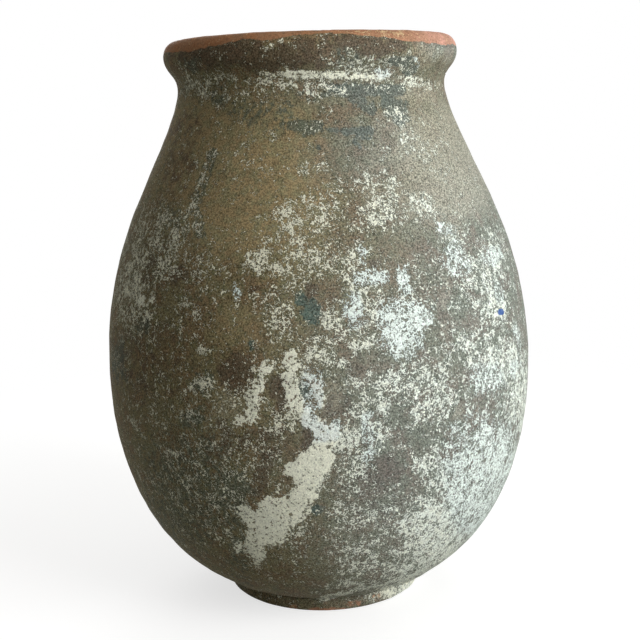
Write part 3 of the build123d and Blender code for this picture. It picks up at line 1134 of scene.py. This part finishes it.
def make_lime_flecks(streak_group):
    """Flaking lime: a cover from 0 to 1 becomes a web of fine curls that thickens into patches.

    The level is the cover, coarse and fine wavering noise, streaks down the
    wall, and curls where a noise crosses its middle. Above 0 there is lime;
    a haze and a dark rim lie just below that.
    """
    inputs = {"Cover": 0.5, "Size": 2.4 * mm, "Streaky": 1.0}
    net, given, out = new_group("lime_flecks", inputs, ["Mask", "Haze", "Edge", "Height", "Tint"])
    scale = net.math("DIVIDE", 1.0, given["Size"])

    def scaled_noise(share, offset, detail, distortion):
        place = net.vector("ADD", given["Place"], (offset, 2.2, 7.7))
        return net.noise(place, net.times(share, scale), detail, 0.6, distortion)

    def curls(share, offset, line, weight):
        middle = net.math("SUBTRACT", scaled_noise(share, offset, 1.0, 0.6), 0.5)
        return net.step(net.math("ABSOLUTE", middle), 0.0, line, weight / 2, -weight / 2)

    def wavering(share, weight, offset):
        return net.times(net.math("SUBTRACT", scaled_noise(share, offset, 1.5, 0.3), 0.5), weight)

    streaks = net.group(streak_group, Place=given["Place"], Size=net.times(given["Size"], 1.2))["Streaks"]
    streaks = net.times(net.math("SUBTRACT", streaks, 0.5), given["Streaky"])
    cover = net.times(net.math("SUBTRACT", given["Cover"], 0.5), 1.5)
    patches = net.sum(cover, wavering(0.30, 2.4, 7.9), wavering(0.10, 1.9, 2.6), streaks)
    level = net.ramp(patches, -0.75, 0.75, -0.82, 0.74)
    level = net.sum(level, curls(0.50, 1.3, 0.10, 0.86), curls(0.31, 4.1, 0.09, 0.56))
    level = net.sum(level, wavering(1.2, 1.9, 5.3))
    tint = net.noise(net.vector("ADD", given["Place"], (4.4, 8.1, 0.6)), net.times(0.3, scale), 3.0, 0.6)
    mask = net.step(level, 0.00, 0.19)
    net.feed(out["Mask"], mask)
    net.feed(out["Haze"], net.step(level, -0.60, 0.10))
    net.feed(out["Edge"], net.math("SUBTRACT", net.step(level, -0.50, -0.10), mask, clamp=True))
    net.feed(out["Height"], net.step(level, -0.10, 0.50))
    net.feed(out["Tint"], net.step(tint, 0.38, 0.62))
    return net.tree


def make_patch_edge():
    """Soft field made a patch with a ragged edge: the field, pushed by a noise, is cut at its middle."""
    inputs = {"Field": 0.0, "Grain": 6 * mm, "Ragged": 0.5, "Softness": 0.1}
    net, given, out = new_group("patch_edge", inputs, ["Mask"])
    noise = net.noise(given["Place"], net.math("DIVIDE", 1.0, given["Grain"]), 3.0, 0.65)
    push = net.times(net.math("SUBTRACT", noise, 0.5), net.times(given["Ragged"], 2.0))
    level = net.math("SUBTRACT", net.sum(given["Field"], push), 0.5)
    mask = net.step(level, net.times(given["Softness"], -1.0), given["Softness"])
    net.feed(out["Mask"], net.times(mask, net.step(given["Field"], 0.05, 0.25)))
    return net.tree


def start_material(name):
    """New material with a node tree; returns it with its net, its surface shader and object coordinates."""
    material = bpy.data.materials.new(name)
    material.use_nodes = True
    net = Net(material.node_tree)
    surface = material.node_tree.nodes["Principled BSDF"]
    return material, net, surface, net.add("ShaderNodeTexCoord").outputs["Object"]


def finish_material(net, surface, colour, roughness, height, distance, strength):
    """Feeds the surface's colour, roughness and bump."""
    net.feed(surface.inputs["Base Color"], colour)
    net.feed(surface.inputs["Roughness"], roughness)
    bump = net.add("ShaderNodeBump", {"Height": height, "Distance": distance, "Strength": strength})
    net.feed(surface.inputs["Normal"], bump.outputs[0])


def aged_earthenware(groups):
    """Skin of old slip and dirt, flaking lime and plaster over it, and bare clay at the edges, with painted
    light on the lit side and painted shade low on the left.
    """
    material, net, surface, place = start_material("aged_earthenware")
    grain = net.group(groups["grain"], Place=place, Size=1.8 * mm)
    tone = grain["Tone"]
    # The dust field is dust and also painted light, lighter and cooler on the lit right side.
    lit_side_dust, covered, cold = net.field("lit_side_dust"), net.field("lime"), net.field("cool")

    def patch(name, size, ragged, softness, offset):
        start = net.vector("ADD", place, offset)
        edge = {"Grain": size * mm, "Ragged": ragged, "Softness": softness}
        return net.group(groups["patch"], Place=start, Field=net.field(name), **edge)["Mask"]

    # Dusty colours are partly painted light: the lighter, cooler copies used on the lit side.
    def lit_side_dusty(name):
        return net.mix(lit_side_dust, paint(name), paint("dusty " + name))

    middle = net.spots(place, (2, 4, 6), 24, 4.0)
    small = net.spots(place, (6, 2, 1), 9)
    stain = net.spots(place, (9, 1, 3), 4, 3.0, 0.7)
    vein = net.spots(place, (2, 9, 4), 15, 3.0, 0.6, 0.8)
    speck = net.spots(place, (7, 7, 1), 2.2, 2.0, 0.7)
    worn = net.spots(place, (0, 7, 2), 3.0, 3.0, 0.7)

    skin = net.mottled(middle, 0.40, 0.62, "olive", "brown")
    skin = net.laid(skin, net.step(small, 0.48, 0.66), 0.65, paint("moss"))
    ochre = patch("ochre", 26, 0.35, 0.35, (1, 0, 0))
    skin = net.laid(skin, ochre, 0.80, net.mottled(small, 0.42, 0.60, "ochre", "green ochre"))
    # Grey dust over the skin, partly painted light that makes the lit side lighter.
    skin = net.laid(skin, lit_side_dust, 0.92, net.mottled(middle, 0.42, 0.62, "green dust", "brown dust"))
    for name, *edge, strength in coats:
        skin = net.laid(skin, patch(name, *edge), strength, lit_side_dusty(name))
    stained = net.times(net.step(stain, 0.52, 0.72), net.ramp(ochre, 0.0, 1.0, 1.0, 0.35))
    skin = net.laid(skin, stained, 0.50, lit_side_dusty("stain"))
    near_line = net.math("ABSOLUTE", net.math("SUBTRACT", vein, 0.5))
    veined = net.times(net.step(near_line, 0.016, 0.004), net.step(middle, 0.44, 0.54))
    skin = net.laid(skin, veined, 0.55, lit_side_dusty("vein"))
    skin = net.mix(net.ramp(ochre, 0.0, 1.0, 0.0, 0.30), net.toned(skin, tone, 0.38, 1.62), skin)
    skin = net.laid(skin, grain["Pits"], 0.75, paint("pit"))
    specked = net.times(net.step(speck, 0.53, 0.62), net.field("specks"))
    skin = net.laid(skin, specked, 0.70, lit_side_dusty("speck"))

    rise = net.add("ShaderNodeSeparateXYZ", {0: place}).outputs["Z"]
    streaky = net.step(rise, 0.10, 0.32, 2.0, 0.8)
    lime = net.group(groups["lime"], Place=place, Cover=covered, Size=2.0 * mm, Streaky=streaky)
    # Lime turns cool and is laid thicker where the dust field is: painted cool light on the lit side, as
    # well as cool lime.
    coolness = net.math("MAXIMUM", cold, net.times(lit_side_dust, 0.8))
    coolness = net.times(coolness, net.ramp(lime["Tint"], 0.0, 1.0, 0.7, 1.0))
    lime_colour = net.mix(coolness, paint("cream lime"), paint("grey lime"))
    lime_colour = net.laid(lime_colour, cold, 0.7, paint("cool lime"))
    haze_colour = net.mix(coolness, paint("cream haze"), paint("grey haze"))
    haze_colour = net.laid(haze_colour, cold, 0.7, paint("cool haze"))
    haze = net.times(lime["Haze"], net.step(covered, 0.1, 0.8, 0.20, 0.85))
    skin = net.mix(haze, skin, net.toned(haze_colour, tone, 0.75, 1.25))
    skin = net.laid(skin, lime["Edge"], 0.70, lit_side_dusty("rim of lime"))
    thickness = net.ramp(net.math("MAXIMUM", lit_side_dust, coolness), 0.0, 1.0, 0.82, 0.97)
    skin = net.laid(skin, lime["Mask"], thickness, net.toned(lime_colour, tone, 0.70, 1.22))

    worn = net.sum(worn, net.step(small, 0.50, 0.75, -0.02, 0.10))
    crust = net.times(patch("crust", 5, 1.60, 0.10, (0, 5, 0)), net.step(worn, 0.62, 0.56))
    crust_colour = net.mottled(middle, 0.35, 0.65, "plaster", "dull plaster")
    crust_colour = net.mix(cold, crust_colour, paint("cool plaster"))
    crust_colour = net.mix(net.step(small, 0.48, 0.68, 0.0, 0.30), crust_colour, paint("dirty plaster"))
    strength = net.ramp(lime["Mask"], 0.0, 1.0, 0.86, 0.98)
    skin = net.laid(skin, crust, strength, net.toned(crust_colour, tone, 0.90, 1.18))

    bare_colour = lit_side_dusty("bare clay")
    bare_colour = net.mix(net.step(middle, 0.40, 0.60, 0.0, 0.55), bare_colour, paint("pale clay"))
    bare_colour = net.mix(net.step(stain, 0.50, 0.66, 0.0, 0.55), bare_colour, paint("dirty clay"))
    bare_colour = net.laid(bare_colour, lime["Mask"], 0.55, paint("golden lime"))
    bare = patch("bare", 6, 0.50, 0.12, (5, 5, 0))
    skin = net.laid(skin, bare, 0.92, net.toned(bare_colour, tone, 0.80, 1.20))
    skin = net.laid(skin, net.step(net.field("blue"), 0.35, 0.6), 0.9, paint("blue paint"))

    roughness = net.ramp(net.math("MAXIMUM", lime["Mask"], crust), 0.0, 1.0, 0.66, 0.92)
    height = net.sum(net.times(lime["Height"], 0.5), net.times(grain["Height"], 0.5), net.times(crust, 0.8))
    surface.inputs["Specular IOR Level"].default_value = 0.04
    finish_material(net, surface, skin, roughness, height, 0.7 * mm, 0.8)
    return material


def honey_glaze(groups):
    """Old honey-brown glaze with darker runs, dull scale and a scatter of lime."""
    material, net, surface, place = start_material("honey_glaze")
    grain = net.group(groups["grain"], Place=place, Size=2.2 * mm)
    runs = net.add("ShaderNodeMapping", {"Vector": place, "Scale": (1.0, 1.0, 0.12)}).outputs[0]
    streaks = net.noise(runs, 1 / (16 * mm), 3.0, 0.6)
    pools = net.spots(place, (1, 2, 3), 45, 3.0, 0.55)
    colour = net.mottled(streaks, 0.35, 0.68, "honey", "dark honey")
    colour = net.mix(net.step(pools, 0.45, 0.70, 0.0, 0.6), colour, paint("olive honey"))
    colour = net.toned(colour, grain["Tone"], 0.85, 1.12)
    lime = net.group(groups["lime"], Place=place, Cover=0.12, Size=7 * mm)
    colour = net.laid(colour, lime["Mask"], 0.6, paint("scale"))
    colour = net.laid(colour, grain["Pits"], 0.7, paint("glaze pit"))
    roughness = net.ramp(lime["Haze"], 0.0, 1.0, 0.28, 0.70)
    finish_material(net, surface, colour, roughness, grain["Height"], 0.4 * mm, 0.5)
    return material


def seen_rays(net):
    """1 for rays from the camera, off gloss and through glass, and 0 for the rest."""
    path = net.add("ShaderNodeLightPath").outputs
    glossy = net.math("MAXIMUM", path["Is Glossy Ray"], path["Is Transmission Ray"])
    return net.math("MAXIMUM", path["Is Camera Ray"], glossy)


# Stage: floor, lamps, world and camera

# Floor: its size, where its shadow is kept and where it is plain white, how
# much of it is lit and how much glows near the jar, and what light it gives back
floor_reach = 12.0
floor_near, floor_far = 0.45, 1.3
floor_shade, floor_glow = 0.44, 0.68
floor_tint = (0.35, 0.35, 0.325, 1)

# Fill light from the sides up to the top, and the lamps: level, turn and rise
fill_low, fill_high = 0.06, 0.42
fill_tint = (1, 0.98, 0.93, 1)
lamp_size = 1.5
lamp_distance = 2.6
lamps = (("key_lamp", 1.10, radians(53), radians(19)), ("back_lamp", 0.50, radians(186), radians(24)))


def pale_floor():
    """White floor that keeps the shadow near the jar and is plain white far from it."""
    mesh = bpy.data.meshes.new("pale_floor")
    half = floor_reach / 2
    corners = [(-half, -half, 0), (half, -half, 0), (half, half, 0), (-half, half, 0)]
    mesh.from_pydata(corners, [], [(0, 1, 2, 3)])
    floor = bpy.data.objects.new("pale_floor", mesh)
    bpy.context.scene.collection.objects.link(floor)
    material = bpy.data.materials.new("pale_floor")
    material.use_nodes = True
    material.node_tree.nodes.clear()
    net = Net(material.node_tree)
    place = net.add("ShaderNodeTexCoord").outputs["Object"]
    far = net.step(net.vector("LENGTH", place, output="Value"), floor_near, floor_far)
    diffuse = net.add("ShaderNodeBsdfDiffuse", {"Color": (1, 1, 1, 1)})
    dark = net.add("ShaderNodeBsdfDiffuse", {"Color": (0, 0, 0, 1)})
    shade = net.ramp(far, 0.0, 1.0, floor_shade, 0.0)
    lit = net.add("ShaderNodeMixShader", {0: shade, 1: dark.outputs[0], 2: diffuse.outputs[0]})
    glow = net.add("ShaderNodeEmission", {"Strength": net.ramp(far, 0.0, 1.0, floor_glow, 1.0)})
    seen = net.add("ShaderNodeAddShader", {0: lit.outputs[0], 1: glow.outputs[0]})
    unseen = net.add("ShaderNodeBsdfDiffuse", {"Color": floor_tint})
    both = net.add("ShaderNodeMixShader", {0: seen_rays(net), 1: unseen.outputs[0], 2: seen.outputs[0]})
    net.add("ShaderNodeOutputMaterial", {"Surface": both.outputs[0]})
    mesh.materials.append(material)


def soft_lamp(name, level, turn, rise):
    """Large square lamp that faces the middle of the jar, turned from the front and raised as given."""
    lamp = bpy.data.lights.new(name, "AREA")
    lamp.shape = "RECTANGLE"
    lamp.size = lamp.size_y = lamp_size
    lamp.energy = level * pi**2 * lamp_distance**2
    placed = bpy.data.objects.new(name, lamp)
    bpy.context.scene.collection.objects.link(placed)
    facing = Matrix.Rotation(turn, 4, "Z") @ Matrix.Rotation(pi / 2 - rise, 4, "X")
    middle = Matrix.Translation((0, 0, jar_height / 2))
    placed.matrix_world = middle @ facing @ Matrix.Translation((0, 0, lamp_distance))


def studio_world():
    """Soft warm fill that grows towards the top, and a white background."""
    world = bpy.data.worlds.new("studio")
    bpy.context.scene.world = world
    world.use_nodes = True
    world.node_tree.nodes.clear()
    net = Net(world.node_tree)
    way = net.add("ShaderNodeTexCoord").outputs["Generated"]
    rise = net.add("ShaderNodeSeparateXYZ", {0: way}).outputs["Z"]
    level = net.step(rise, -0.3, 1.0, fill_low, fill_high)
    fill = net.add("ShaderNodeBackground", {"Color": fill_tint, "Strength": level})
    white = net.add("ShaderNodeBackground", {"Color": (1, 1, 1, 1), "Strength": 1.0})
    both = net.add("ShaderNodeMixShader", {0: seen_rays(net), 1: fill.outputs[0], 2: white.outputs[0]})
    net.add("ShaderNodeOutputWorld", {"Surface": both.outputs[0]})


def photo_camera():
    """Camera at the photograph's place and angle."""
    lens = bpy.data.cameras.new("photo_camera")
    lens.lens = camera_lens
    lens.sensor_width = camera_sensor
    lens.clip_end = 100
    camera = bpy.data.objects.new("photo_camera", lens)
    bpy.context.scene.collection.objects.link(camera)
    camera.matrix_world = camera_matrix()
    bpy.context.scene.camera = camera


# The jar and its stage

groups = {
    "grain": make_fine_grain(),
    "lime": make_lime_flecks(make_wall_streaks()),
    "patch": make_patch_edge(),
}
clay = aged_earthenware(groups)
glaze = honey_glaze(groups)

for name, rows, poles in (
    ("base_slab", base_slab(), True),
    ("lower_wall", lower_wall(), False),
    ("upper_wall", upper_wall(), False),
    ("rim_collar", rim_collar(), False),
):
    piece = add_piece(f"{name}_aged", rows, clay_shift, poles)
    piece.data.materials.append(clay)
    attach(piece, "root")
    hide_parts(name)

lining = add_piece("glaze_lining_worn", glaze_lining(), glaze_shift, True)
lining.data.materials.append(glaze)
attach(lining, "root")
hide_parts("glaze_lining")

pale_floor()
for lamp_row in lamps:
    soft_lamp(*lamp_row)
studio_world()
photo_camera()
bpy.context.scene.view_settings.view_transform = "Standard"
